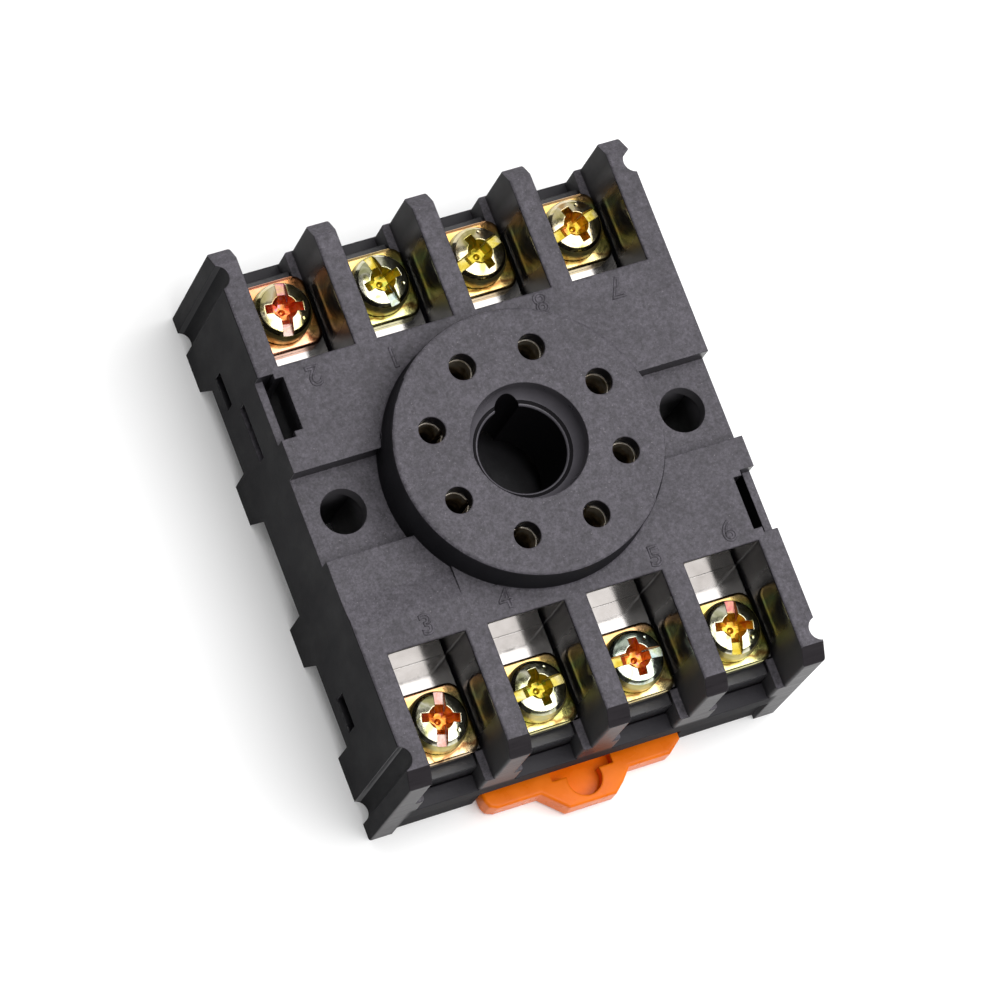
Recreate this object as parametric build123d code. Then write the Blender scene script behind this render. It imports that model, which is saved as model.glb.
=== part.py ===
from build123d import *
import os

# Eight-pin round relay socket with screw terminals, for a 35 mm rail or a panel.
# +X runs along the rows of screws, -Y is the end with the orange release tab,
# +Z is up towards the relay. The feet stand on z = 0, and the relay's key post
# is on the Z axis. All lengths are in millimetres.

os.makedirs("parts", exist_ok=True)

# ---- driving dimensions ------------------------------------------------------
HALF_X = 20.13          # half width of the housing
HALF_Y = 25.65          # half length of the housing
TOP_Z = 17.5            # top face and barrier tops
RING_Z = 21.1           # top of the raised pin ring
RING_R = 12.5           # outer radius of the pin ring at its foot
RING_TOP_R = 12.36      # outer radius under its rounded rim
EDGE_R = 0.25           # rounding of the moulding's top edges
END_CHAMFER_Y = 1.5     # chamfer on the ends of the barriers
END_CHAMFER_Z = 1.3

PITCH = 9.514           # barrier pitch
BARRIER = 2.16          # barrier thickness
WELL_W = PITCH - BARRIER
WELL_X = (-1.5 * PITCH, -0.5 * PITCH, 0.5 * PITCH, 1.5 * PITCH)
WALL_IN = 1.5 * PITCH + WELL_W / 2   # inner face of the outer walls
WELL_IN = 13.78         # inner end wall of each well
SHAFT_OUT = 24.1        # outer end of the open shaft under each well
LEDGE_Z = 7.2           # ledge at the open end of each well
RIB_W = 0.75            # low ribs beside each barrier at the open end
RIB_Z = 10.1
RIB_Y = 22.8

BASE_TOP = 5.6          # base plate, top and rail seat
SEAT_Z = 3.6
RAIL_W = 35.0           # rail width over its flanges
FLANGE_IN = 25.0 / 2    # inner edge of the rail's flanges

CEIL_MID = 14.0         # roof of the inner cavity near the panel screws
CEIL_OUT = 15.9         # roof of the inner cavity elsewhere
RECESS_Z = 15.54        # seat of the panel screws
RECESS_Y = (-4.25, 4.05)
PANEL_X = 16.5          # panel screw holes, 33 mm apart
PANEL_R = 2.1

PCD_R = 17.45 / 2       # pin circle radius
PIN_R = 1.22            # pin hole radius
KEY_R = 4.05            # key post bore radius
KEY_W = 2.3             # keyway
KEY_Y = 5.1
KEY_TOP_Z = 19.5
FUNNEL_R = 5.35

PLATE_Z = 10.5          # top face of the terminal plates
PLATE_T = 0.8
SCREW_Y = 19.75
TAP_R = 1.75            # M3.5 terminal screws
SHANK_R = 1.70
SHANK_TIP_Z = 4.9
WASHER_T = 1.05
WASHER_X = 6.65
WASHER_Y = 6.7
HEAD_R = 2.74
HEAD_H = 2.4

SLIDER_Z0, SLIDER_Z1 = 0.3, 2.45
SLIDER_IN = -16.6       # tongue end at rest, under the rail's flange
WING_X = 9.6
TRAVEL = 2.5


# ---- helpers -----------------------------------------------------------------
def box(x0, x1, y0, y1, z0, z1):
    return Pos((x0 + x1) / 2, (y0 + y1) / 2, (z0 + z1) / 2) * Box(
        abs(x1 - x0), abs(y1 - y0), abs(z1 - z0)
    )


def cyl(x, y, z0, z1, r):
    return Pos(x, y, (z0 + z1) / 2) * Cylinder(r, z1 - z0)


# solid with the outline (y, z), from x0 to x1
def prism_x(points, x0, x1):
    wire = Polyline(*[(x0, y, z) for y, z in points], close=True)
    return extrude(make_face(wire), amount=x1 - x0, dir=(1, 0, 0))


# solid with the outline (x, z), from y0 to y1
def prism_y(points, y0, y1):
    wire = Polyline(*[(x, y0, z) for x, z in points], close=True)
    return extrude(make_face(wire), amount=y1 - y0, dir=(0, 1, 0))


# solid with the outline (x, y), from z0 to z1
def prism_z(points, z0, z1):
    wire = Polyline(*[(x, y, z0) for x, y in points], close=True)
    return extrude(make_face(wire), amount=z1 - z0, dir=(0, 0, 1))


def one(shape):
    solids = shape.solids()
    return max(solids, key=lambda s: s.volume) if solids else shape


def save(name, shape):
    shape.label = name
    export_step(shape, "parts/" + name + ".step")
    print(name, len(shape.solids()), round(sum(s.volume for s in shape.solids()), 2))


# terminal number -> (sign of y, index along x, pin x, pin y)
PIN_A = PCD_R * 0.9238795325
PIN_B = PCD_R * 0.3826834324
TERMINALS = {
    1: (1, 1, -PIN_B, PIN_A),
    2: (1, 0, -PIN_A, PIN_B),
    3: (-1, 0, -PIN_A, -PIN_B),
    4: (-1, 1, -PIN_B, -PIN_A),
    5: (-1, 2, PIN_B, -PIN_A),
    6: (-1, 3, PIN_A, -PIN_B),
    7: (1, 3, PIN_A, PIN_B),
    8: (1, 2, PIN_B, PIN_A),
}


def yspan(s, a, b):
    return (min(s * a, s * b), max(s * a, s * b))


def xspan(s, a, b):
    return (min(s * a, s * b), max(s * a, s * b))


# plan of the strap that joins each terminal plate to its pin sleeve
def strap_boxes(n, grow, z0, z1):
    s, i, px, py = TERMINALS[n]
    sx = 1 if px > 0 else -1
    boxes = []
    if abs(px) < abs(py):
        x0, x1 = xspan(sx, 2.2, 4.9)
        y0, y1 = yspan(s, abs(py), 13.3)
        boxes.append((x0, x1, y0, y1))
    else:
        x0, x1 = xspan(sx, abs(px), 13.0)
        y0, y1 = yspan(s, 2.35, 4.5)
        boxes.append((x0, x1, y0, y1))
        x0, x1 = xspan(sx, 10.6, 13.0)
        y0, y1 = yspan(s, 2.35, 13.3)
        boxes.append((x0, x1, y0, y1))
    out = None
    for x0, x1, y0, y1 in boxes:
        b = box(x0 - grow, x1 + grow, y0 - grow, y1 + grow, z0, z1)
        out = b if out is None else out + b
    return out


# ---- upper housing -----------------------------------------------------------
upper = box(-HALF_X, HALF_X, -HALF_Y, HALF_Y, 0, TOP_Z)

# chamfered ends of the barriers
for s in (1, -1):
    upper -= prism_x(
        [
            (s * (HALF_Y - END_CHAMFER_Y), TOP_Z),
            (s * HALF_Y, TOP_Z - END_CHAMFER_Z),
            (s * (HALF_Y + 2), TOP_Z - END_CHAMFER_Z),
            (s * (HALF_Y + 2), TOP_Z + 2),
            (s * (HALF_Y - END_CHAMFER_Y), TOP_Z + 2),
        ],
        -HALF_X - 1,
        HALF_X + 1,
    )

# recess for the panel screws, across the full width
upper -= box(-HALF_X - 1, HALF_X + 1, RECESS_Y[0], RECESS_Y[1], RECESS_Z, TOP_Z + 1)

# shallow recess with a sloping end beside it, on the front left only
upper -= prism_x(
    [
        (RECESS_Y[0] + 0.01, 17.1),
        (-8.1, 17.1),
        (-10.75, TOP_Z),
        (-10.75, TOP_Z + 1),
        (RECESS_Y[0] + 0.01, TOP_Z + 1),
    ],
    -HALF_X - 1,
    -9.7,
)

# the pin ring, with a slight draft, a rounded rim and a small fillet at its foot
rim_profile = Plane.XZ * make_face(
    [
        Line((0, 12.0), (RING_R, 12.0)),
        Line((RING_R, 12.0), (RING_R, TOP_Z)),
        Line((RING_R, TOP_Z), (RING_TOP_R, RING_Z - 0.35)),
        ThreePointArc((RING_TOP_R, RING_Z - 0.35), (RING_TOP_R - 0.1, RING_Z - 0.1), (RING_TOP_R - 0.35, RING_Z)),
        Line((RING_TOP_R - 0.35, RING_Z), (0, RING_Z)),
        Line((0, RING_Z), (0, 12.0)),
    ]
)
upper += revolve(rim_profile, Axis.Z, 360)
foot_profile = Plane.XZ * make_face(
    [
        Line((RING_R - 0.3, TOP_Z - 0.1), (RING_R + 0.4, TOP_Z - 0.1)),
        Line((RING_R + 0.4, TOP_Z - 0.1), (RING_R + 0.4, TOP_Z)),
        ThreePointArc((RING_R + 0.4, TOP_Z), (RING_R + 0.1, TOP_Z + 0.12), (RING_R - 0.02, TOP_Z + 0.42)),
        Line((RING_R - 0.02, TOP_Z + 0.42), (RING_R - 0.3, TOP_Z + 0.42)),
        Line((RING_R - 0.3, TOP_Z + 0.42), (RING_R - 0.3, TOP_Z - 0.1)),
    ]
)
foot = revolve(foot_profile, Axis.Z, 360)
foot -= box(-HALF_X, HALF_X, RECESS_Y[0], RECESS_Y[1], TOP_Z - 1, TOP_Z + 1)
foot -= box(-HALF_X, 0, -10.75, RECESS_Y[0] + 0.1, TOP_Z - 1, TOP_Z + 1)

# terminal wells, open at the top and at the end, with low ribs at the open end
for cx in WELL_X:
    h = WELL_W / 2
    for s in (1, -1):
        y0, y1 = yspan(s, WELL_IN, 27)
        upper -= box(cx - h, cx + h, y0, y1, RIB_Z, TOP_Z + 1)
        y0, y1 = yspan(s, RIB_Y - 1, 27)
        upper -= box(cx - h + RIB_W, cx + h - RIB_W, y0, y1, LEDGE_Z, RIB_Z + 1)
        y0, y1 = yspan(s, WELL_IN, RIB_Y)
        upper -= box(cx - h, cx + h, y0, y1, BASE_TOP, RIB_Z + 1)
        y0, y1 = yspan(s, RIB_Y - 1, SHAFT_OUT)
        upper -= box(cx - h + RIB_W, cx + h - RIB_W, y0, y1, BASE_TOP, RIB_Z + 1)

# space for the base plate, open underneath; the screw bosses stay
low = box(-WALL_IN, WALL_IN, -SHAFT_OUT, SHAFT_OUT, -1, BASE_TOP + 0.1)
mid = box(-WALL_IN, WALL_IN, -12.2, 12.2, BASE_TOP, CEIL_MID)
mid += box(-WALL_IN, WALL_IN, 5.6, 12.2, CEIL_MID - 1, CEIL_OUT)
mid += box(-WALL_IN, WALL_IN, -12.2, -5.6, CEIL_MID - 1, CEIL_OUT)
mid -= cyl(0, 0, 9.0, 20, 12.6)
for s in (1, -1):
    boss = cyl(s * PANEL_X, 0, 4.2, 16, 4.1)
    low -= boss
    mid -= boss
# wall that closes the clip pockets on the inside
mid -= box(-WALL_IN, -16.9, 6.2, 12.2, 8.4, 16)
mid -= box(16.9, WALL_IN, -12.2, -6.2, 8.4, 16)
upper -= low
upper -= mid

# open slots for the straps, and the pockets that hold their upright ends
for n, (s, i, px, py) in TERMINALS.items():
    cx = WELL_X[i]
    y0, y1 = yspan(s, 12.0, WELL_IN + 0.5)
    upper -= box(cx - 3.6, cx + 3.6, y0, y1, BASE_TOP - 1, PLATE_Z - PLATE_T)
    y0, y1 = yspan(s, 12.88, WELL_IN + 0.5)
    upper -= box(cx - 3.53, cx + 3.53, y0, y1, PLATE_Z - 1, 17.15)
    upper -= strap_boxes(n, 0.22, BASE_TOP - 1, 13.45)
    upper -= cyl(px, py, BASE_TOP - 1, 19.5, 2.05)
    upper -= cyl(px, py, 19.0, RING_Z + 1, PIN_R)

# key post bore with a bowl-shaped mouth and a round-ended keyway towards +Y
upper -= cyl(0, 0, 5, RING_Z + 1, KEY_R)
mouth = Plane.XZ * make_face(
    [
        Line((0, 18.4), (KEY_R, 18.4)),
        ThreePointArc((KEY_R, 18.4), (KEY_R + 0.05, 18.53), (KEY_R + 0.18, 18.6)),
        Line((KEY_R + 0.18, 18.6), (KEY_R + 0.5, 18.72)),
        ThreePointArc((KEY_R + 0.5, 18.72), (KEY_R + 0.98, 19.2), (FUNNEL_R - 0.04, 20.3)),
        Line((FUNNEL_R - 0.04, 20.3), (FUNNEL_R, RING_Z)),
        Line((FUNNEL_R, RING_Z), (FUNNEL_R, 22.0)),
        Line((FUNNEL_R, 22.0), (0, 22.0)),
        Line((0, 22.0), (0, 18.4)),
    ]
)
upper -= revolve(mouth, Axis.Z, 360)
upper -= box(-KEY_W / 2, KEY_W / 2, 0, KEY_Y - KEY_W / 2, 5, KEY_TOP_Z)
upper -= cyl(0, KEY_Y - KEY_W / 2, 5, KEY_TOP_Z, KEY_W / 2)

# panel screw holes, round at the top and square below
for s in (1, -1):
    upper -= cyl(s * PANEL_X, 0, 13.5, 17, PANEL_R)
    upper -= box(s * PANEL_X - 2.15, s * PANEL_X + 2.15, -2.15, 2.15, 3, 14.0)

# ends: the foot of each end wall is set back a little below the ledge
for s in (1, -1):
    y0, y1 = yspan(s, 25.25, HALF_Y + 1)
    upper -= box(-WALL_IN + 0.02, WALL_IN - 0.02, y0, y1, -1, 5.0)

# opening for the release tab
upper -= box(-9.95, 9.95, -27, -23.5, -1, 4.1)

# side walls: the gaps between the feet
gaps = (
    [(18.19, -1), (18.19, 0), (17.03, 3.6), (8.85, 3.6), (8.8, -1)],
    [(5.02, -1), (5.02, 0), (3.94, 4.2), (-5.2, 4.2), (-5.24, -1)],
    [(-8.9, -1), (-8.9, 0), (-9.84, 3.6), (-17.68, 3.6), (-17.68, -1)],
)
for g in gaps:
    upper -= prism_x(g, -HALF_X - 1, -WALL_IN + 0.3)
    upper -= prism_x(g, WALL_IN - 0.3, HALF_X + 1)

# upright grooves near the corners
for sx in (1, -1):
    for sy in (1, -1):
        upper -= cyl(sx * (HALF_X + 0.25), sy * 22.95, -1, TOP_Z + 1, 1.12)

# pockets for the relay's hold-down clip, on opposite corners, with thin low outer walls
for sx, sy in ((-1, 1), (1, -1)):
    x0, x1 = xspan(sx, 17.9, 19.38)
    y0, y1 = yspan(sy, 7.7, 12.7)
    upper -= box(x0, x1, y0, y1, 9.0, TOP_Z + 1)
    x0, x1 = xspan(sx, 18.7, 19.38)
    y0, y1 = yspan(sy, 7.2, 13.2)
    upper -= box(x0, x1, y0, y1, 9.0, TOP_Z + 1)
    x0, x1 = xspan(sx, 19.3, 21)
    y0, y1 = yspan(sy, 7.2, 13.2)
    upper -= box(x0, x1, y0, y1, 16.0, TOP_Z + 1)
    x0, x1 = xspan(sx, 19.0, 21)
    y0, y1 = yspan(sy, 7.9, 13.1)
    upper -= box(x0, x1, y0, y1, 9.4, 11.0)

# snap windows for the base's latches
for sx in (1, -1):
    x0, x1 = xspan(sx, 17.5, 21)
    upper -= box(x0, x1, 14.2, 17.4, 5.75, 7.7)
    upper -= box(x0, x1, -17.0, -13.8, 5.75, 8.0)

upper = one(upper).fix()

# rounded edges: barriers, well mouths, chamfers, upright corners, recess and pin holes
soft = []
for e in upper.edges():
    a, b = e @ 0, e @ 1
    m = (a + b) / 2
    d = b - a
    if e.geom_type != GeomType.LINE or d.length < 0.3:
        continue
    along_x = abs(d.X) / d.length > 0.999
    along_y = abs(d.Y) / d.length > 0.999
    along_z = abs(d.Z) / d.length > 0.999
    at_top = abs(m.Z - TOP_Z) < 1e-3
    if along_y and at_top and abs(m.Y) > WELL_IN - 0.1:
        soft.append(e)
    elif along_x and at_top and abs(abs(m.Y) - WELL_IN) < 1e-2:
        soft.append(e)
    elif along_x and at_top and abs(abs(m.Y) - (HALF_Y - END_CHAMFER_Y)) < 1e-2:
        soft.append(e)
    elif along_x and abs(m.Z - (TOP_Z - END_CHAMFER_Z)) < 1e-3 and abs(abs(m.Y) - HALF_Y) < 1e-3:
        soft.append(e)
    elif along_z and abs(abs(m.Y) - HALF_Y) < 1e-3 and m.Z > 8.0:
        soft.append(e)
upper = one(upper.fillet(EDGE_R, soft))
upper = one(upper + foot)
rims = [
    e
    for e in upper.edges()
    if e.geom_type == GeomType.CIRCLE and abs((e @ 0).Z - RING_Z) < 1e-3 and abs(e.radius - PIN_R) < 1e-3
]
upper = one(upper.fillet(0.12, rims))
save("upper_housing", upper)

# ---- lower housing -----------------------------------------------------------
lower = box(-WALL_IN + 0.1, WALL_IN - 0.1, -SHAFT_OUT + 0.1, SHAFT_OUT - 0.1, SEAT_Z, BASE_TOP)
for s in (1, -1):
    lower -= cyl(s * PANEL_X, 0, 3, 6, 4.25)
for i, cx in enumerate(WELL_X):
    for s in (1, -1):
        y0, y1 = yspan(s, 12.35, RIB_Y - 0.12)
        lower += box(cx - 3.53, cx + 3.53, y0, y1, BASE_TOP - 0.5, PLATE_Z - PLATE_T)
        y0, y1 = yspan(s, RIB_Y - 1, SHAFT_OUT - 0.1)
        lower += box(cx - 2.83, cx + 2.83, y0, y1, BASE_TOP - 0.5, PLATE_Z - PLATE_T)
for i, cx in enumerate(WELL_X):
    for s in (1, -1):
        lower -= cyl(cx, s * SCREW_Y, 4.4, PLATE_Z, 2.1)
# latches that snap into the side windows
for sx in (1, -1):
    for y0, y1 in ((14.45, 17.15), (-16.75, -14.05)):
        pts = [(17.6, 5.0), (18.75, 5.0 + 0.95), (18.75, 6.6), (17.6, 7.5)]
        wedge = prism_y([(sx * x, z) for x, z in pts], y0, y1)
        lower += wedge
        x0, x1 = xspan(sx, 17.84, 19)
        lower -= box(x0, x1, y0 - 0.1, y1 + 0.1, 4.9, 5.92)
# two fixed hooks for the rail, at the rear
for sx in (1, -1):
    x0, x1 = xspan(sx, 5.0, 13.0)
    lower += box(x0, x1, 17.75, 21.0, 0.6, SEAT_Z + 0.2)
    lower += prism_x([(18.0, 0.6), (16.9, 0.6), (16.35, 1.3), (16.35, 2.2), (18.0, 2.35)], x0, x1)
# middle feet, between the rail's flanges
for sx in (1, -1):
    x0, x1 = xspan(sx, 5.0, 16.5)
    lower += box(x0, x1, 5.2, 8.7, 0.0, SEAT_Z + 0.2)
    lower += box(x0, x1, -8.8, -5.3, 0.0, SEAT_Z + 0.2)
    # rear stiffener
    lower += box(x0, x1, 21.9, 23.9, 0.8, SEAT_Z + 0.2)
# guide channel of the slider
for sx in (1, -1):
    x0, x1 = xspan(sx, 7.75, 9.25)
    lower += box(x0, x1, -24.0, -17.75, 0.35, SEAT_Z + 0.2)
    x0, x1 = xspan(sx, 6.35, 8.0)
    lower += box(x0, x1, -24.0, -17.75, 0.35, 1.1)
    x0, x1 = xspan(sx, 6.2, 7.4)
    lower += box(x0, x1, -24.0, -17.75, 2.55, SEAT_Z + 0.2)
# post that the slider's spring pushes against
lower += box(-1.25, 1.25, -23.9, -22.95, 0.6, SEAT_Z + 0.2)
lower = one(lower)
save("lower_housing", lower)

# ---- rail slider -------------------------------------------------------------
slider = box(-7.6, 7.6, -24.95, SLIDER_IN, 1.2, SLIDER_Z1)
slider += box(-6.2, 6.2, -24.95, SLIDER_IN, SLIDER_Z0, 1.25)
# the end of the tongue slopes so that the rail pushes it open
slider -= prism_x(
    [
        (SLIDER_IN - 1.3, SLIDER_Z0 - 0.5),
        (SLIDER_IN - 1.0, SLIDER_Z0),
        (SLIDER_IN, 1.5),
        (SLIDER_IN + 1, 1.5),
        (SLIDER_IN + 1, -0.2),
    ],
    -8,
    8,
)
tab = prism_z(
    [
        (-WING_X, -24.85),
        (WING_X + 0.2, -24.85),
        (WING_X + 0.2, -25.75),
        (8.45, -26.8),
        (4.35, -26.8),
        (3.35, -27.9),
        (2.35, -28.75),
        (-2.25, -28.75),
        (-4.35, -26.8),
        (-WING_X + 1.0, -26.8),
        (-WING_X + 0.3, -26.5),
        (-WING_X, -25.85),
    ],
    SLIDER_Z0,
    SLIDER_Z1,
)
slider += tab
# soft upper rim
rim = [
    e
    for e in slider.edges()
    if abs(e.center().Z - SLIDER_Z1) < 1e-3
    and e.center().Y < -25.2
    and e.bounding_box().size.Z < 1e-2
]
slider = one(fillet(rim, 0.28))
# finger recess on top of the tab
slider -= cyl(0.0, -26.5, 1.25, 4, 1.65)
slider -= box(-3.0, 3.0, -26.0, -24.6, 1.25, 4)
# window for the spring and the fixed post
slider -= box(-1.35, 1.35, -24.0, -17.75, -1, 4)
slider = one(slider)
save("rail_slider", slider)

# ---- slider spring, a small helical compression spring along Y ------------------
SPRING_R = 0.78
WIRE_R = 0.16
TURNS = 6
SPRING_Y0, SPRING_Y1 = -22.9, -17.8
pitch = (SPRING_Y1 - SPRING_Y0 - 2 * WIRE_R - 0.04) / TURNS
path = Helix(pitch, pitch * TURNS, SPRING_R)
profile = Plane(origin=path @ 0, z_dir=path % 0) * Circle(WIRE_R)
coil = sweep(profile, path=path, is_frenet=True)
coil = Rot(-90, 0, 0) * coil
bb = coil.bounding_box()
coil = Pos(0, (SPRING_Y0 + SPRING_Y1) / 2 - (bb.min.Y + bb.max.Y) / 2, 1.42) * coil
save("slider_spring", one(coil))

# ---- contacts, washers and screws ------------------------------------------------
for n, (s, i, px, py) in TERMINALS.items():
    cx = WELL_X[i]
    y0, y1 = yspan(s, 13.0, RIB_Y - 0.08)
    contact = box(cx - 3.45, cx + 3.45, y0, y1, PLATE_Z - PLATE_T + 0.02, PLATE_Z)
    y0, y1 = yspan(s, 12.95, 13.74)
    contact += box(cx - 3.45, cx + 3.45, y0, y1, PLATE_Z - PLATE_T + 0.02, 17.05)
    contact += strap_boxes(n, 0.0, 12.4, 13.2)
    contact += cyl(px, py, 11.2, 19.3, 1.8)
    contact -= cyl(px, py, 10, 20, 1.19)
    # slit that lets the sleeve grip the pin, on the side away from the strap
    if abs(px) < abs(py):
        y0, y1 = yspan(s, abs(py) - 3, abs(py))
        contact -= box(px - 0.25, px + 0.25, y0, y1, 10, 20)
    else:
        sx = 1 if px > 0 else -1
        x0, x1 = xspan(sx, abs(px) - 3, abs(px))
        contact -= box(x0, x1, py - 0.25, py + 0.25, 10, 20)
    contact -= cyl(cx, s * SCREW_Y, 9, 11, TAP_R)
    contact = one(contact)
    save("contact_%d" % n, contact)

    washer = Pos(cx, s * SCREW_Y, PLATE_Z + WASHER_T / 2 + 0.01) * Box(WASHER_X, WASHER_Y, WASHER_T - 0.02)
    washer = fillet(washer.edges().filter_by(Axis.Z), 1.2)
    top = washer.faces().sort_by(Axis.Z)[-1]
    washer = fillet(top.edges(), 0.32)
    washer -= cyl(cx, s * SCREW_Y, PLATE_Z - 1, PLATE_Z + 2, 1.95)
    save("clamp_washer_%d" % n, one(washer))

# slot direction of each screw as it was left, degrees from +X
SLOT = {1: 281.0, 2: 260.0, 3: 253.5, 4: 5.0, 5: -3.0, 6: 257.0, 7: 16.0, 8: 20.0}
HEAD_Z = PLATE_Z + WASHER_T + 0.02
for n, (s, i, px, py) in TERMINALS.items():
    head = Plane.XZ * make_face(
        [
            Line((0, 0), (HEAD_R - 0.12, 0)),
            Line((HEAD_R - 0.12, 0), (HEAD_R, 0.15)),
            Line((HEAD_R, 0.15), (HEAD_R, 0.7)),
            ThreePointArc((HEAD_R, 0.7), (HEAD_R - 0.14, 1.43), (HEAD_R - 0.52, HEAD_H - 0.4)),
            ThreePointArc((HEAD_R - 0.52, HEAD_H - 0.4), (1.12, HEAD_H - 0.1), (0, HEAD_H)),
            Line((0, HEAD_H), (0, 0)),
        ]
    )
    screw = revolve(head, Axis.Z, 360)
    screw += cyl(0, 0, SHANK_TIP_Z + 0.35 - HEAD_Z, 0.2, SHANK_R)
    screw += Pos(0, 0, SHANK_TIP_Z + 0.175 - HEAD_Z) * Cone(SHANK_R - 0.35, SHANK_R, 0.35)
    # straight slot across the head, with slightly sloping sides
    screw -= prism_x(
        [(-0.46, HEAD_H - 0.78), (0.46, HEAD_H - 0.78), (0.54, HEAD_H + 0.5), (-0.54, HEAD_H + 0.5)], -4, 4
    )
    # tapered four-winged recess with a wide middle
    for a in (0, 90):
        wing = prism_y(
            [(-1.98, HEAD_H + 0.05), (-0.75, HEAD_H - 1.6), (0.75, HEAD_H - 1.6), (1.98, HEAD_H + 0.05)],
            -0.4,
            0.4,
        )
        screw -= Rot(0, 0, a) * wing
    core = Cone(0.12, 1.25, 1.95)
    screw -= Pos(0, 0, HEAD_H - 1.9 + 0.975) * core
    # small dimple beside the slot
    screw -= Pos(1.95 * 0.602, 1.95 * 0.799, HEAD_H + 0.02) * Sphere(0.36)
    screw = Pos(WELL_X[i], s * SCREW_Y, HEAD_Z) * Rot(0, 0, SLOT[n]) * screw
    save("terminal_screw_%d" % n, one(screw))
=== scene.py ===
import bpy, bmesh, math
from mathutils import Matrix, Vector


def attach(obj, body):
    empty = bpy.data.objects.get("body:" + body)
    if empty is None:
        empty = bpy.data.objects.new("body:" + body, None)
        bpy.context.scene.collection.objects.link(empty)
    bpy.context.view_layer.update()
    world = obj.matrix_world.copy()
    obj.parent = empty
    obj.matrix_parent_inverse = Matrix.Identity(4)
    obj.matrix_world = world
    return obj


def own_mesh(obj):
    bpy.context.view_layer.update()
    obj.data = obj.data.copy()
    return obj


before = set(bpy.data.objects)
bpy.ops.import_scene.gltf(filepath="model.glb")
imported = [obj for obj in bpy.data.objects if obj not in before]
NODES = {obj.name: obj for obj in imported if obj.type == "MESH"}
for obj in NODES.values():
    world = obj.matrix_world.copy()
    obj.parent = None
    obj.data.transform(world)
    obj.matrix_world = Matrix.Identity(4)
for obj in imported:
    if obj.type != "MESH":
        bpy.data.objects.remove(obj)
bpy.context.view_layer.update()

SC = bpy.context.scene
MM = 0.001


def link(obj):
    SC.collection.objects.link(obj)
    return obj


# ------------------------------------------------------------------ camera
# fitted to the photograph: looks down from the front left
def camera():
    rx, ry, rz = -0.3273, 0.2368, 0.3708
    cx, sx, cy, sy, cz, sz = (
        math.cos(rx), math.sin(rx), math.cos(ry), math.sin(ry), math.cos(rz), math.sin(rz)
    )
    flip = Matrix(((1, 0, 0), (0, -1, 0), (0, 0, -1)))
    mx = Matrix(((1, 0, 0), (0, cx, -sx), (0, sx, cx)))
    my = Matrix(((cy, 0, sy), (0, 1, 0), (-sy, 0, cy)))
    mz = Matrix(((cz, -sz, 0), (sz, cz, 0), (0, 0, 1)))
    m = flip @ mx @ my @ mz
    t = Vector((-2.367, 1.3594, 571.556)) * MM
    pos = -(m.transposed() @ t)
    cam = bpy.data.cameras.new("Camera")
    cam.sensor_width = 36.0
    cam.lens = 6320.08 * 36.0 / 1000.0
    cam.clip_start = 0.01
    cam.clip_end = 20.0
    obj = link(bpy.data.objects.new("Camera", cam))
    right, up, back = m[0], -m[1], -m[2]
    obj.matrix_world = Matrix(
        (
            (right[0], up[0], back[0], pos[0]),
            (right[1], up[1], back[1], pos[1]),
            (right[2], up[2], back[2], pos[2]),
            (0, 0, 0, 1),
        )
    )
    SC.camera = obj
    return obj


CAM = camera()


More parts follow.
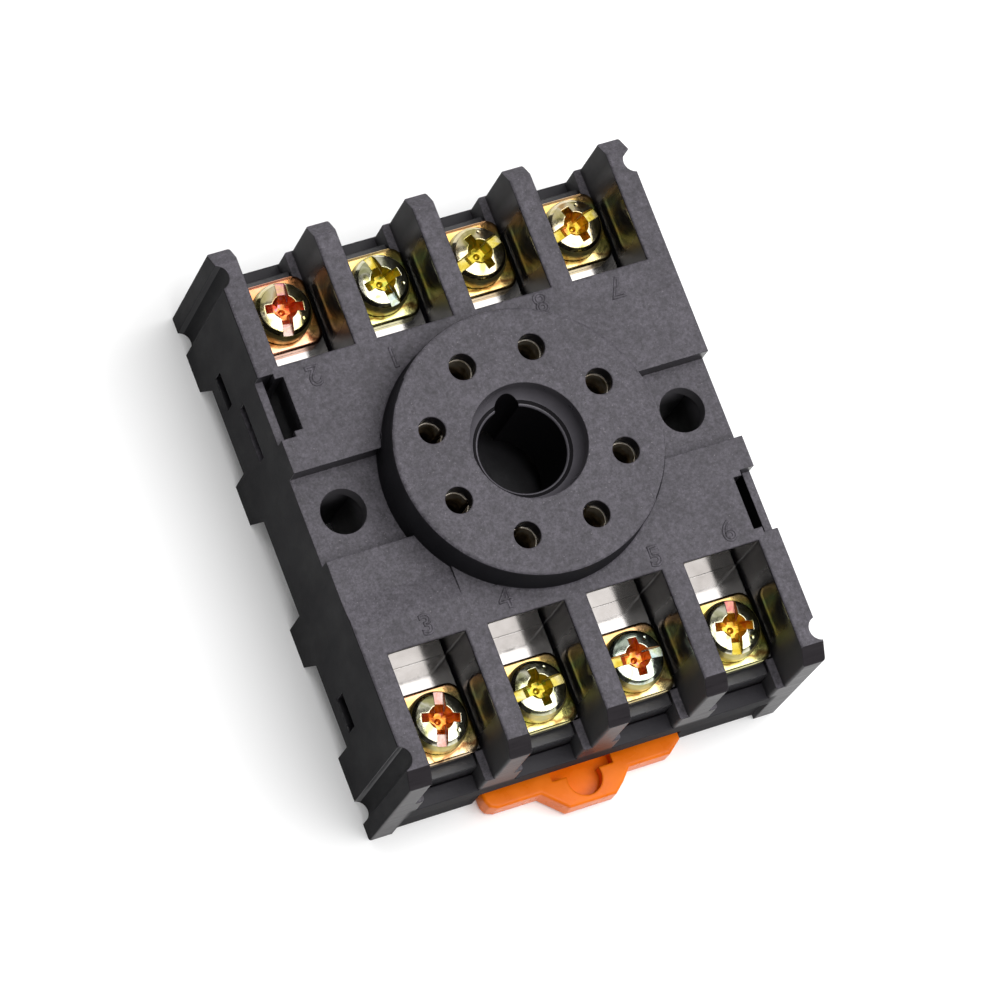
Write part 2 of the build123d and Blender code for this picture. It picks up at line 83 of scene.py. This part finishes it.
# ------------------------------------------------------------------ node helpers
class Tree:
    def __init__(self, name):
        self.m = bpy.data.materials.new(name)
        self.m.use_nodes = True
        self.t = self.m.node_tree
        self.t.nodes.clear()
        self.out = self.n("ShaderNodeOutputMaterial")
        self.b = self.n("ShaderNodeBsdfPrincipled")
        self.l(self.b.outputs[0], self.out.inputs[0])
        self.tc = self.n("ShaderNodeTexCoord")

    def n(self, kind, **kw):
        node = self.t.nodes.new(kind)
        for k, v in kw.items():
            setattr(node, k, v)
        return node

    def l(self, a, b):
        self.t.links.new(a, b)

    def set(self, **kw):
        for k, v in kw.items():
            self.b.inputs[k.replace("_", " ")].default_value = v

    def noise(self, scale, detail=3.0, rough=0.5, vec=None, dist=0.0):
        n = self.n("ShaderNodeTexNoise")
        n.inputs["Scale"].default_value = scale
        n.inputs["Detail"].default_value = detail
        n.inputs["Roughness"].default_value = rough
        n.inputs["Distortion"].default_value = dist
        self.l(vec or self.tc.outputs["Object"], n.inputs["Vector"])
        return n.outputs["Fac"]

    def scaled(self, x, y, z):
        mp = self.n("ShaderNodeMapping")
        mp.inputs["Scale"].default_value = (x, y, z)
        self.l(self.tc.outputs["Object"], mp.inputs["Vector"])
        return mp.outputs[0]

    def ramp(self, fac, stops, mode="LINEAR"):
        r = self.n("ShaderNodeValToRGB")
        r.color_ramp.interpolation = mode
        e = r.color_ramp.elements
        while len(e) < len(stops):
            e.new(0.5)
        for i, (p, c) in enumerate(stops):
            e[i].position = p
            e[i].color = (*c, 1) if len(c) == 3 else c
        self.l(fac, r.inputs[0])
        return r.outputs[0]

    def math(self, op, a, b=None, c=None, clamp=False):
        m = self.n("ShaderNodeMath", operation=op, use_clamp=clamp)
        for i, v in enumerate((a, b, c)):
            if v is None:
                continue
            if isinstance(v, (int, float)):
                m.inputs[i].default_value = v
            else:
                self.l(v, m.inputs[i])
        return m.outputs[0]

    def maprange(self, v, a, b, c, d):
        m = self.n("ShaderNodeMapRange")
        self.l(v, m.inputs["Value"])
        for k, x in (("From Min", a), ("From Max", b), ("To Min", c), ("To Max", d)):
            m.inputs[k].default_value = x
        return m.outputs[0]

    def mix(self, fac, a, b, kind="MIX"):
        m = self.n("ShaderNodeMix", data_type="RGBA", blend_type=kind)
        ins = {"f": m.inputs[0], "a": m.inputs[6], "b": m.inputs[7]}
        for key, v in (("f", fac), ("a", a), ("b", b)):
            if isinstance(v, (int, float)):
                ins[key].default_value = v
            elif isinstance(v, tuple):
                ins[key].default_value = (*v, 1) if len(v) == 3 else v
            else:
                self.l(v, ins[key])
        return m.outputs[2]

    def bump(self, height, strength, distance, normal=None):
        b = self.n("ShaderNodeBump")
        b.inputs["Strength"].default_value = strength
        b.inputs["Distance"].default_value = distance
        self.l(height, b.inputs["Height"])
        if normal is not None:
            self.l(normal, b.inputs["Normal"])
        return b.outputs[0]

    def soft(self, radius, samples=6):
        b = self.n("ShaderNodeBevel", samples=samples)
        b.inputs["Radius"].default_value = radius
        return b.outputs[0]

    def facing_up(self):
        s = self.n("ShaderNodeSeparateXYZ")
        self.l(self.tc.outputs["Normal"], s.inputs[0])
        return s.outputs["Z"]


# ------------------------------------------------------------------ materials
def housing_top():
    """Upward faces: fine mottled moulding texture, nearly matt."""
    t = Tree("housing_plastic")
    grain = t.noise(4200, 4, 0.7)
    patch = t.noise(1500, 3, 0.6)
    cloud = t.noise(260, 4, 0.6)
    fine = t.noise(12000, 2, 0.5)
    speck = t.maprange(grain, 0.32, 0.72, 0.62, 1.42)
    tone = t.maprange(patch, 0.3, 0.7, 0.72, 1.32)
    broad = t.maprange(cloud, 0.3, 0.7, 0.86, 1.14)
    both = t.math("MULTIPLY", t.math("MULTIPLY", speck, tone), broad)
    shade = t.n("ShaderNodeCombineColor")
    for i in range(3):
        t.l(both, shade.inputs[i])
    col = t.mix(1.0, (0.070, 0.0643, 0.0760), shade.outputs[0], "MULTIPLY")
    dust = t.maprange(t.noise(5200, 2, 0.4), 0.69, 0.77, 0.0, 0.6)
    col = t.mix(dust, col, (0.22, 0.205, 0.22))
    t.l(col, t.b.inputs["Base Color"])
    t.l(t.maprange(patch, 0.3, 0.7, 0.50, 0.66), t.b.inputs["Roughness"])
    h = t.math("ADD", grain, t.math("MULTIPLY", fine, 0.3))
    t.l(t.bump(h, 0.5, 0.00007, t.soft(0.00018)), t.b.inputs["Normal"])
    t.set(IOR=1.36)
    return t.m


def housing_gloss(name="housing_polished", base=(0.016, 0.015, 0.018), rough=(0.13, 0.22), ior=1.45, fade=None):
    """Upright faces as they leave a polished mould: dark and shiny, with faint drag lines.
    With fade, the shine dies out towards the open ends of the wells."""
    t = Tree(name)
    drag = t.noise(700, 3, 0.6, t.scaled(3.0, 3.0, 0.35))
    cloud = t.noise(500, 3, 0.6)
    col = t.mix(cloud, tuple(v * 0.8 for v in base), tuple(v * 1.25 for v in base))
    t.l(col, t.b.inputs["Base Color"])
    r = t.maprange(cloud, 0.3, 0.7, *rough)
    if fade:
        s = t.n("ShaderNodeSeparateXYZ")
        t.l(t.tc.outputs["Object"], s.inputs[0])
        far = t.math("ABSOLUTE", s.outputs["Y"])
        r = t.math("ADD", r, t.maprange(far, fade[0], fade[1], 0.0, fade[2]), clamp=True)
        r = t.math("ADD", r, t.maprange(far, 0.0172, 0.0158, 0.0, 0.22), clamp=True)
    t.l(r, t.b.inputs["Roughness"])
    t.l(t.bump(drag, 0.35, 0.00005, t.soft(0.00018)), t.b.inputs["Normal"])
    t.set(IOR=ior)
    return t.m


def housing_channel():
    """Walls of the panel screws' channels: painted light and shade, the base colour lit near the seat and dark
    further down.
    """
    t = Tree("housing_screw_channel_painted_shade")
    s = t.n("ShaderNodeSeparateXYZ")
    t.l(t.tc.outputs["Object"], s.inputs[0])
    cloud = t.noise(500, 3, 0.6)
    # painted shade: the colour runs from lit near the seat to dark with depth
    f = t.math("ADD", t.maprange(s.outputs["Z"], 0.0085, 0.0135, 0.0, 1.0), t.maprange(cloud, 0.3, 0.7, -0.06, 0.06), clamp=True)
    t.l(t.ramp(f, [(0.05, (0.006, 0.0055, 0.0065)), (0.45, (0.018, 0.017, 0.019)), (0.95, (0.115, 0.110, 0.120))]), t.b.inputs["Base Color"])
    t.l(t.maprange(cloud, 0.3, 0.7, 0.50, 0.62), t.b.inputs["Roughness"])
    t.set(IOR=1.15)
    return t.m


def housing_face():
    """End faces: satin where the barriers end, duller and drawn along X on the low wall between them."""
    t = Tree("housing_end_face")
    s = t.n("ShaderNodeSeparateXYZ")
    t.l(t.tc.outputs["Object"], s.inputs[0])
    drag = t.noise(900, 3, 0.6, t.scaled(0.25, 1.0, 3.0))
    wall = t.maprange(s.outputs["Z"], 0.0078, 0.0070, 0.0, 1.0)
    inside = t.maprange(t.math("ABSOLUTE", s.outputs["X"]), 0.0182, 0.0176, 0.0, 1.0)
    low = t.math("MULTIPLY", wall, inside, clamp=True)
    a = t.ramp(drag, [(0.3, (0.021, 0.0187, 0.0211)), (0.7, (0.029, 0.0257, 0.0288))])
    b = t.ramp(drag, [(0.3, (0.008, 0.0075, 0.009)), (0.7, (0.020, 0.0185, 0.021))])
    t.l(t.mix(low, a, b), t.b.inputs["Base Color"])
    r = t.maprange(drag, 0.3, 0.7, 0.26, 0.36)
    t.l(t.math("ADD", r, t.math("MULTIPLY", low, 0.36), clamp=True), t.b.inputs["Roughness"])
    t.l(t.bump(drag, 0.35, 0.00005, t.soft(0.00018)), t.b.inputs["Normal"])
    t.set(IOR=1.17)
    return t.m


def housing_side(name="housing_side", k=1.0):
    """Outer side walls and the side of the ring: painted shade, a base colour far darker than the upward faces'
    for the sides the light misses, with a soft broad sheen.
    """
    t = Tree(name)
    cloud = t.noise(330, 4, 0.6, t.scaled(1.0, 1.0, 0.5))
    grain = t.noise(5200, 3, 0.6)
    # painted shade: these near-black colours stand in for the little light reaching the side walls
    lo, hi = (0.0070, 0.0068, 0.0080), (0.0120, 0.0116, 0.0135)
    col = t.ramp(cloud, [(0.3, tuple(v * k for v in lo)), (0.7, tuple(v * k for v in hi))])
    t.l(col, t.b.inputs["Base Color"])
    t.l(t.maprange(cloud, 0.3, 0.7, 0.48, 0.64), t.b.inputs["Roughness"])
    t.l(t.bump(grain, 0.25, 0.00005, t.soft(0.00018)), t.b.inputs["Normal"])
    t.set(IOR=1.12)
    return t.m


def slider_plastic():
    t = Tree("slider_plastic")
    cloud = t.noise(500, 3, 0.5)
    col = t.ramp(cloud, [(0.3, (0.78, 0.148, 0.001)), (0.7, (0.88, 0.186, 0.003))])
    t.l(col, t.b.inputs["Base Color"])
    t.l(t.maprange(cloud, 0.3, 0.7, 0.24, 0.34), t.b.inputs["Roughness"])
    t.l(t.bump(t.noise(2200, 2, 0.5), 0.2, 0.00005, t.soft(0.0003)), t.b.inputs["Normal"])
    t.set(IOR=1.27)
    return t.m


def nickel(name="nickel_plate", scale=(1.0, 1.0, 14.0)):
    t = Tree(name)
    lines = t.noise(900, 4, 0.6, t.scaled(*scale))
    cloud = t.noise(160, 3, 0.5)
    col = t.ramp(t.math("ADD", t.math("MULTIPLY", cloud, 0.6), t.math("MULTIPLY", lines, 0.4)), [(0.35, (0.27, 0.255, 0.245)), (0.65, (0.37, 0.355, 0.345))])
    t.l(col, t.b.inputs["Base Color"])
    t.l(t.maprange(lines, 0.3, 0.7, 0.07, 0.14), t.b.inputs["Roughness"])
    t.l(t.bump(lines, 0.08, 0.00003, t.soft(0.0001)), t.b.inputs["Normal"])
    t.set(Metallic=1.0)
    return t.m


def film(name, stops, rough=(0.12, 0.24), scale=620.0, seed=0.0, lift=0.10, ring=None):
    """Passivated zinc: bands of thin-film colour over bright metal."""
    t = Tree(name)
    mp = t.n("ShaderNodeMapping")
    mp.inputs["Location"].default_value = (seed, seed * 0.7, seed * 0.3)
    t.l(t.tc.outputs["Object"], mp.inputs["Vector"])
    cloud = t.noise(scale, 2, 0.5, mp.outputs[0], 0.8)
    lw = t.n("ShaderNodeLayerWeight")
    lw.inputs["Blend"].default_value = 0.4
    f = t.math("ADD", t.maprange(cloud, 0.30, 0.70, 0.0, 1.0), t.math("MULTIPLY", lw.outputs["Facing"], lift))
    t.l(t.ramp(f, stops), t.b.inputs["Base Color"])
    fine = t.noise(4200, 3, 0.6, mp.outputs[0])
    t.l(t.maprange(fine, 0.3, 0.7, *rough), t.b.inputs["Roughness"])
    t.l(t.bump(t.noise(1300, 3, 0.5, mp.outputs[0]), 0.22, 0.00004, t.soft(0.00012)), t.b.inputs["Normal"])
    t.set(Metallic=1.0)
    return t.m


def washer_film(name, cx, cy, side, seed, tint):
    """The washer's colour changes across it: a cream band along the −Y edge as a painted highlight, then a thin
    brown line as a painted shadow of the screw head, then gold and green film colours.
    """
    t = Tree(name)
    mp = t.n("ShaderNodeMapping")
    mp.inputs["Location"].default_value = (-cx, -cy, 0)
    t.l(t.tc.outputs["Object"], mp.inputs["Vector"])
    sep = t.n("ShaderNodeSeparateXYZ")
    t.l(mp.outputs[0], sep.inputs[0])
    mp2 = t.n("ShaderNodeMapping")
    mp2.inputs["Location"].default_value = (seed, seed, 0)
    t.l(t.tc.outputs["Object"], mp2.inputs["Vector"])
    wob = t.noise(520, 2, 0.5, mp2.outputs[0], 0.5)
    f = t.math("MULTIPLY_ADD", sep.outputs["Y"], 1 / 0.0067, 0.5)
    f = t.math("ADD", f, t.maprange(wob, 0.25, 0.75, -0.10, 0.10))
    # first stops: painted highlight (cream) at the −Y edge and painted shadow of the head (brown line); the
    # rest are film colours
    stops = [
        (0.00, (0.62, 0.55, 0.40)), (0.06, (0.56, 0.46, 0.26)), (0.11, (0.20, 0.10, 0.04)),
        (0.15, (0.46, 0.40, 0.20)), (0.24, (0.24, 0.25, 0.08)), (0.34, (0.36, 0.25, 0.07)),
        (0.48, (0.18, 0.20, 0.07)), (0.62, (0.36, 0.26, 0.08)), (0.74, (0.20, 0.26, 0.13)),
        (0.86, (0.44, 0.30, 0.12)), (0.96, (0.52, 0.33, 0.21)),
    ]
    stops = [(p, tuple(v * k for v, k in zip(c, tint))) for p, c in stops]
    t.l(t.ramp(f, stops), t.b.inputs["Base Color"])
    fine = t.noise(4200, 3, 0.6, mp2.outputs[0])
    t.l(t.maprange(fine, 0.3, 0.7, 0.10, 0.20), t.b.inputs["Roughness"])
    t.l(t.bump(t.noise(1500, 3, 0.5, mp2.outputs[0]), 0.22, 0.00004, t.soft(0.00015)), t.b.inputs["Normal"])
    t.set(Metallic=1.0)
    return t.m


def sleeve_metal():
    """Pin sleeves: warm bare metal at the mouth, with painted shade darkening the colour deeper down."""
    t = Tree("nickel_sleeve")
    s = t.n("ShaderNodeSeparateXYZ")
    t.l(t.tc.outputs["Object"], s.inputs[0])
    cloud = t.noise(900, 3, 0.6)
    # painted shade: the colour darkens with depth below the mouth
    f = t.math("ADD", t.maprange(s.outputs["Z"], 0.0148, 0.0186, 0.0, 1.0), t.maprange(cloud, 0.3, 0.7, -0.25, 0.2), clamp=True)
    col = t.ramp(f, [(0.05, (0.05, 0.035, 0.025)), (0.45, (0.34, 0.25, 0.15)), (0.75, (0.70, 0.58, 0.40)), (0.95, (0.88, 0.80, 0.68))])
    t.l(col, t.b.inputs["Base Color"])
    t.l(t.maprange(cloud, 0.3, 0.7, 0.34, 0.48), t.b.inputs["Roughness"])
    t.l(t.bump(t.noise(1800, 3, 0.5), 0.2, 0.00004), t.b.inputs["Normal"])
    t.set(Metallic=1.0)
    return t.m


def spring_wire():
    t = Tree("spring_steel")
    n = t.noise(3000, 3, 0.6)
    t.l(t.ramp(n, [(0.3, (0.42, 0.42, 0.44)), (0.7, (0.62, 0.62, 0.64))]), t.b.inputs["Base Color"])
    t.l(t.maprange(n, 0.3, 0.7, 0.22, 0.36), t.b.inputs["Roughness"])
    t.set(Metallic=1.0)
    return t.m


def floor_mat():
    t = Tree("floor")
    n = t.noise(6, 4, 0.5)
    t.l(t.ramp(n, [(0.3, (0.86, 0.86, 0.86)), (0.7, (0.89, 0.89, 0.89))]), t.b.inputs["Base Color"])
    # a faint lift keeps the floor white; there is none in the shade under the socket
    s = t.n("ShaderNodeSeparateXYZ")
    t.l(t.tc.outputs["Object"], s.inputs[0])
    a = t.maprange(t.math("ABSOLUTE", s.outputs["X"]), 0.0155, 0.0195, 0.0, 1.0)
    b = t.maprange(t.math("ABSOLUTE", s.outputs["Y"]), 0.0210, 0.0255, 0.0, 1.0)
    t.l(t.mix(t.math("MAXIMUM", a, b), (0.0, 0.0, 0.0), (1.0, 1.0, 1.0)), t.b.inputs["Emission Color"])
    t.set(Roughness=0.6, Emission_Strength=0.12)
    return t.m


def dress(obj, mats, pick=None):
    """Give each polygon one of the materials; pick(centre in mm, normal) returns an index."""
    obj.data.materials.clear()
    for m in mats:
        obj.data.materials.append(m)
    for p in obj.data.polygons:
        p.material_index = pick(p.center / MM, p.normal) if pick else 0


TOP = housing_top()
GLOSS = housing_gloss(rough=(0.08, 0.15), ior=1.52, fade=(0.0210, 0.0236, 0.62))
MOUTH = housing_gloss("housing_mouth", (0.082, 0.077, 0.088), (0.26, 0.36), 1.3)
LEDGE = housing_gloss("housing_ledge", (0.022, 0.0205, 0.0245), (0.34, 0.48), 1.25)
LIP = housing_gloss("housing_mouth_lip", (0.085, 0.080, 0.092), (0.20, 0.30), 1.4)
# painted shade: near-black base for the key bore and the bowl's flat floor, which lie in shade
BORE = housing_gloss("housing_bore_painted_shade", (0.0085, 0.0078, 0.0092), (0.50, 0.62), 1.12)
FACE = housing_face()
SIDE = housing_side()
# the ring's side carries the same painted shade, a little lighter
RING = housing_side("housing_ring_side", 1.75)
CHANNEL = housing_channel()
BASE = housing_gloss("base_plastic", (0.022, 0.021, 0.024), (0.28, 0.42), 1.42)
ORANGE = slider_plastic()
NICKEL = nickel()
SLEEVE = sleeve_metal()
SPRING = spring_wire()


def pick_housing(c, n):
    r = math.hypot(c.x, c.y)
    if r < 5.6 and c.z < 21.095:
        # the bore and the flat bowl floor take the painted-shade material
        if c.z < 18.4:
            return 6
        return 5 if r < 4.226 else 6 if n.z > 0.9 else 3
    if abs(c.y) < 2.3 and 14.2 < abs(c.x) < 18.8 and c.z < 15.5:
        return 9
    if 12.0 < r < 12.95 and c.z > 18.0:
        return 0 if c.z > 20.951 else 8
    if c.y < -24.0 and n.y < -0.4 and n.z > 0.4 and c.z > 15.0:
        return 4
    if n.z > 0.55 and c.z > 6.5:
        return 7 if c.z < 9.0 else 0
    if 12.3 < r < 12.95 and c.z > 15.6 and n.z > -0.2:
        return 8
    # outer side walls get the painted-shade material
    if abs(c.x) > 19.0 and abs(n.x) > 0.6:
        return 2
    if abs(c.y) > 24.5 and abs(n.y) > 0.7:
        return 4
    return 1


LAND = {
    "grey": [(0.10, (0.30, 0.30, 0.14)), (0.35, (0.50, 0.50, 0.32)), (0.62, (0.68, 0.66, 0.52)), (0.95, (0.42, 0.40, 0.18))],
    "cream": [(0.10, (0.36, 0.32, 0.10)), (0.35, (0.58, 0.50, 0.24)), (0.62, (0.70, 0.62, 0.42)), (0.95, (0.52, 0.34, 0.15))],
    "cyan": [(0.10, (0.24, 0.32, 0.22)), (0.35, (0.48, 0.56, 0.46)), (0.62, (0.66, 0.70, 0.60)), (0.95, (0.40, 0.44, 0.18))],
}
FLOORS = {
    "yellow": [(0.15, (0.23, 0.165, 0.016)), (0.50, (0.27, 0.22, 0.042)), (0.90, (0.29, 0.25, 0.12))],
    "cyan": [(0.15, (0.17, 0.23, 0.22)), (0.50, (0.25, 0.28, 0.26)), (0.90, (0.22, 0.25, 0.15))],
    "pink": [(0.15, (0.22, 0.075, 0.085)), (0.50, (0.26, 0.115, 0.12)), (0.90, (0.26, 0.16, 0.09))],
    "blush": [(0.15, (0.27, 0.145, 0.12)), (0.50, (0.29, 0.22, 0.20)), (0.90, (0.28, 0.19, 0.13))],
    "red": [(0.15, (0.22, 0.045, 0.038)), (0.50, (0.26, 0.10, 0.09)), (0.90, (0.26, 0.16, 0.08))],
}
CROSS = {
    "ember": [(0.05, (0.20, 0.050, 0.012)), (0.35, (0.52, 0.165, 0.025)), (0.62, (0.66, 0.30, 0.06)), (0.95, (0.62, 0.20, 0.18))],
    "rose": [(0.05, (0.22, 0.030, 0.015)), (0.35, (0.55, 0.100, 0.040)), (0.62, (0.62, 0.24, 0.06)), (0.95, (0.66, 0.22, 0.28))],
    "olive": [(0.05, (0.15, 0.12, 0.012)), (0.35, (0.36, 0.30, 0.028)), (0.62, (0.52, 0.36, 0.045)), (0.95, (0.24, 0.32, 0.06))],
    "gold": [(0.05, (0.20, 0.11, 0.012)), (0.35, (0.50, 0.32, 0.030)), (0.62, (0.62, 0.40, 0.06)), (0.95, (0.54, 0.19, 0.05))],
}
RIM = film("zinc_rim", [(0.1, (0.36, 0.33, 0.12)), (0.5, (0.60, 0.50, 0.20)), (0.9, (0.42, 0.42, 0.20))], (0.34, 0.48), 500)
PIN = film("zinc_shank", [(0.1, (0.62, 0.52, 0.24)), (0.5, (0.80, 0.68, 0.36)), (0.9, (0.60, 0.62, 0.36))], (0.2, 0.34), 700)

WELL_X = (-14.271, -4.757, 4.757, 14.271)
SCREW_Y = 19.75
SCREW_TOP = 13.97
PLACE = {1: (1, 1), 2: (1, 0), 3: (-1, 0), 4: (-1, 1), 5: (-1, 2), 6: (-1, 3), 7: (1, 3), 8: (1, 2)}
SLOT = {1: 281.0, 2: 260.0, 3: 253.5, 4: 5.0, 5: -3.0, 6: 257.0, 7: 16.0, 8: 20.0}
# land, one end of the slot, its other end, cross recess
LOOK = {
    1: ("grey", "cyan", "yellow", "olive"),
    2: ("cream", "blush", "pink", "rose"),
    3: ("grey", "blush", "blush", "ember"),
    4: ("grey", "yellow", "yellow", "olive"),
    5: ("cyan", "cyan", "yellow", "ember"),
    6: ("grey", "yellow", "red", "gold"),
    7: ("cream", "yellow", "yellow", "gold"),
    8: ("cream", "yellow", "yellow", "olive"),
}


def dress_screw(obj, n):
    s, i = PLACE[n]
    cx, cy = WELL_X[i], s * SCREW_Y
    a = math.radians(SLOT[n])
    ux, uy = math.cos(a), math.sin(a)
    land, fa, fb, cross = LOOK[n]
    seed = 0.019 * n
    mats = [
        film("land_%d" % n, LAND[land], (0.10, 0.20), 520, seed, 0.15),
        film("slot_a_%d" % n, FLOORS[fa], (0.16, 0.30), 700, seed, 0.1),
        film("slot_b_%d" % n, FLOORS[fb], (0.16, 0.30), 700, seed, 0.1),
        film("cross_%d" % n, CROSS[cross], (0.30, 0.44), 1300, seed, 0.2),
        RIM,
        PIN,
    ]

    def pick(c, nm):
        x, y, z = c.x - cx, c.y - cy, c.z - SCREW_TOP
        r = math.hypot(x, y)
        if z < -2.3:
            return 5
        along = x * ux + y * uy
        if nm.z > 0.93 and abs(z + 0.78) < 0.06:
            return 1 if along > 0 else 2
        if r > 2.5 and nm.z < 0.45:
            return 4
        if r < 1.9 and (nm.z < 0.8 or z < -0.9):
            return 3
        if nm.z < 0.35:
            return 3
        return 0

    dress(obj, mats, pick)


# each washer's film leans to its own colour
TINT = {
    1: (0.92, 1.00, 0.62), 2: (1.05, 0.62, 0.56), 3: (1.05, 0.90, 0.80), 4: (0.95, 1.00, 0.66),
    5: (1.00, 0.95, 0.72), 6: (0.92, 1.00, 0.66), 7: (1.00, 0.94, 0.66), 8: (1.05, 0.88, 0.58),
}

for name, obj in NODES.items():
    if name == "upper_housing":
        dress(obj, [TOP, GLOSS, SIDE, MOUTH, FACE, LIP, BORE, LEDGE, RING, CHANNEL], pick_housing)
    elif name == "lower_housing":
        dress(obj, [BASE])
    elif name == "rail_slider":
        dress(obj, [ORANGE])
    elif name == "slider_spring":
        dress(obj, [SPRING])
        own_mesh(obj)
    elif name.startswith("contact_"):
        dress(obj, [NICKEL, SLEEVE], lambda c, n: 1 if math.hypot(c.x, c.y) < 11.0 else 0)
    elif name.startswith("clamp_washer_"):
        k = int(name[-1])
        s, i = PLACE[k]
        dress(obj, [washer_film("zinc_" + name, WELL_X[i] * MM, s * SCREW_Y * MM, s, 0.013 * k, TINT[k])])
    elif name.startswith("terminal_screw_"):
        dress_screw(obj, int(name[-1]))

# ------------------------------------------------------------------ raised numerals
NUMERALS = {
    2: (-15.2, 12.1, 180), 1: (-7.7, 11.7, 180), 8: (7.0, 12.7, 180), 7: (14.2, 12.1, 180),
    3: (-13.7, -12.35, 0), 4: (-6.1, -12.2, 0), 5: (8.3, -12.5, 0), 6: (15.6, -12.3, 0),
}


def numeral(n, x, y, turn):
    cu = bpy.data.curves.new("numeral_%d" % n, "FONT")
    cu.body = str(n)
    cu.size = 2.6 * MM
    cu.align_x = "CENTER"
    cu.align_y = "CENTER"
    cu.extrude = 0.0
    cu.fill_mode = "NONE"
    cu.bevel_depth = 0.11 * MM
    cu.bevel_resolution = 2
    obj = link(bpy.data.objects.new("numeral_%d" % n, cu))
    obj.matrix_world = Matrix.Translation((x * MM, y * MM, 17.5 * MM)) @ Matrix.Rotation(
        math.radians(turn), 4, "Z"
    )
    obj.data.materials.append(TOP)
    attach(obj, "housing")
    return obj


for n, (x, y, turn) in NUMERALS.items():
    numeral(n, x, y, turn)


# ------------------------------------------------------------------ thread ridges on the screws
def thread(n):
    s, i = PLACE[n]
    cx, cy = WELL_X[i], s * SCREW_Y
    pitch, steps, z0, z1 = 0.6, 28, 5.5, 11.3
    bm = bmesh.new()
    rings = []
    total = int((z1 - z0) / pitch * steps)
    for k in range(total + 1):
        a = 2 * math.pi * k / steps
        z = z0 + pitch * k / steps
        ends = min(k, total - k) / (steps / 2)
        crest = 1.69 + 0.052 * min(1.0, ends)
        ring = []
        for r, dz in ((1.66, -0.22), (crest, 0.0), (1.66, 0.22)):
            ring.append(bm.verts.new(((cx + r * math.cos(a)) * MM, (cy + r * math.sin(a)) * MM, (z + dz) * MM)))
        rings.append(ring)
    for p, q in zip(rings, rings[1:]):
        for j in range(3):
            bm.faces.new((p[j], p[(j + 1) % 3], q[(j + 1) % 3], q[j]))
    bm.faces.new(rings[0][::-1])
    bm.faces.new(rings[-1])
    bmesh.ops.recalc_face_normals(bm, faces=bm.faces)
    me = bpy.data.meshes.new("thread_%d" % n)
    bm.to_mesh(me)
    bm.free()
    obj = link(bpy.data.objects.new("thread_%d" % n, me))
    me.materials.append(PIN)
    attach(obj, "screw_%d" % n)


for n in PLACE:
    thread(n)


# ------------------------------------------------------------------ floor, light
def floor():
    bm = bmesh.new()
    bmesh.ops.create_grid(bm, x_segments=2, y_segments=2, size=1.5)
    me = bpy.data.meshes.new("Floor")
    bm.to_mesh(me)
    bm.free()
    obj = link(bpy.data.objects.new("Floor", me))
    obj.data.materials.append(floor_mat())


floor()


def area(name, pos, target, size, energy, size_y=None, color=(1, 1, 1)):
    li = bpy.data.lights.new(name, "AREA")
    li.energy = energy
    li.color = color
    li.shape = "RECTANGLE" if size_y else "SQUARE"
    li.size = size
    if size_y:
        li.size_y = size_y
    obj = link(bpy.data.objects.new(name, li))
    d = Vector(target) - Vector(pos)
    obj.matrix_world = Matrix.Translation(pos) @ d.to_track_quat("-Z", "Y").to_matrix().to_4x4()
    return obj


area("Overhead", (0.36, -0.17, 0.95), (0.36, -0.17, 0), 1.24, 18.0, 1.14)
area("Back", (0.15, 0.95, 0.75), (0, 0, 0), 0.9, 1.7, 0.9)
area("Right", (0.75, 0.05, 0.30), (0, 0, 0.01), 0.12, 0.5, 0.5)

world = bpy.data.worlds.new("World")
SC.world = world
world.use_nodes = True
bg = world.node_tree.nodes["Background"]
bg.inputs[0].default_value = (1, 1, 1, 1)
bg.inputs[1].default_value = 0.14

SC.view_settings.view_transform = "Standard"
SC.view_settings.look = "None"
SC.view_settings.exposure = 0.0

bpy.context.view_layer.update()
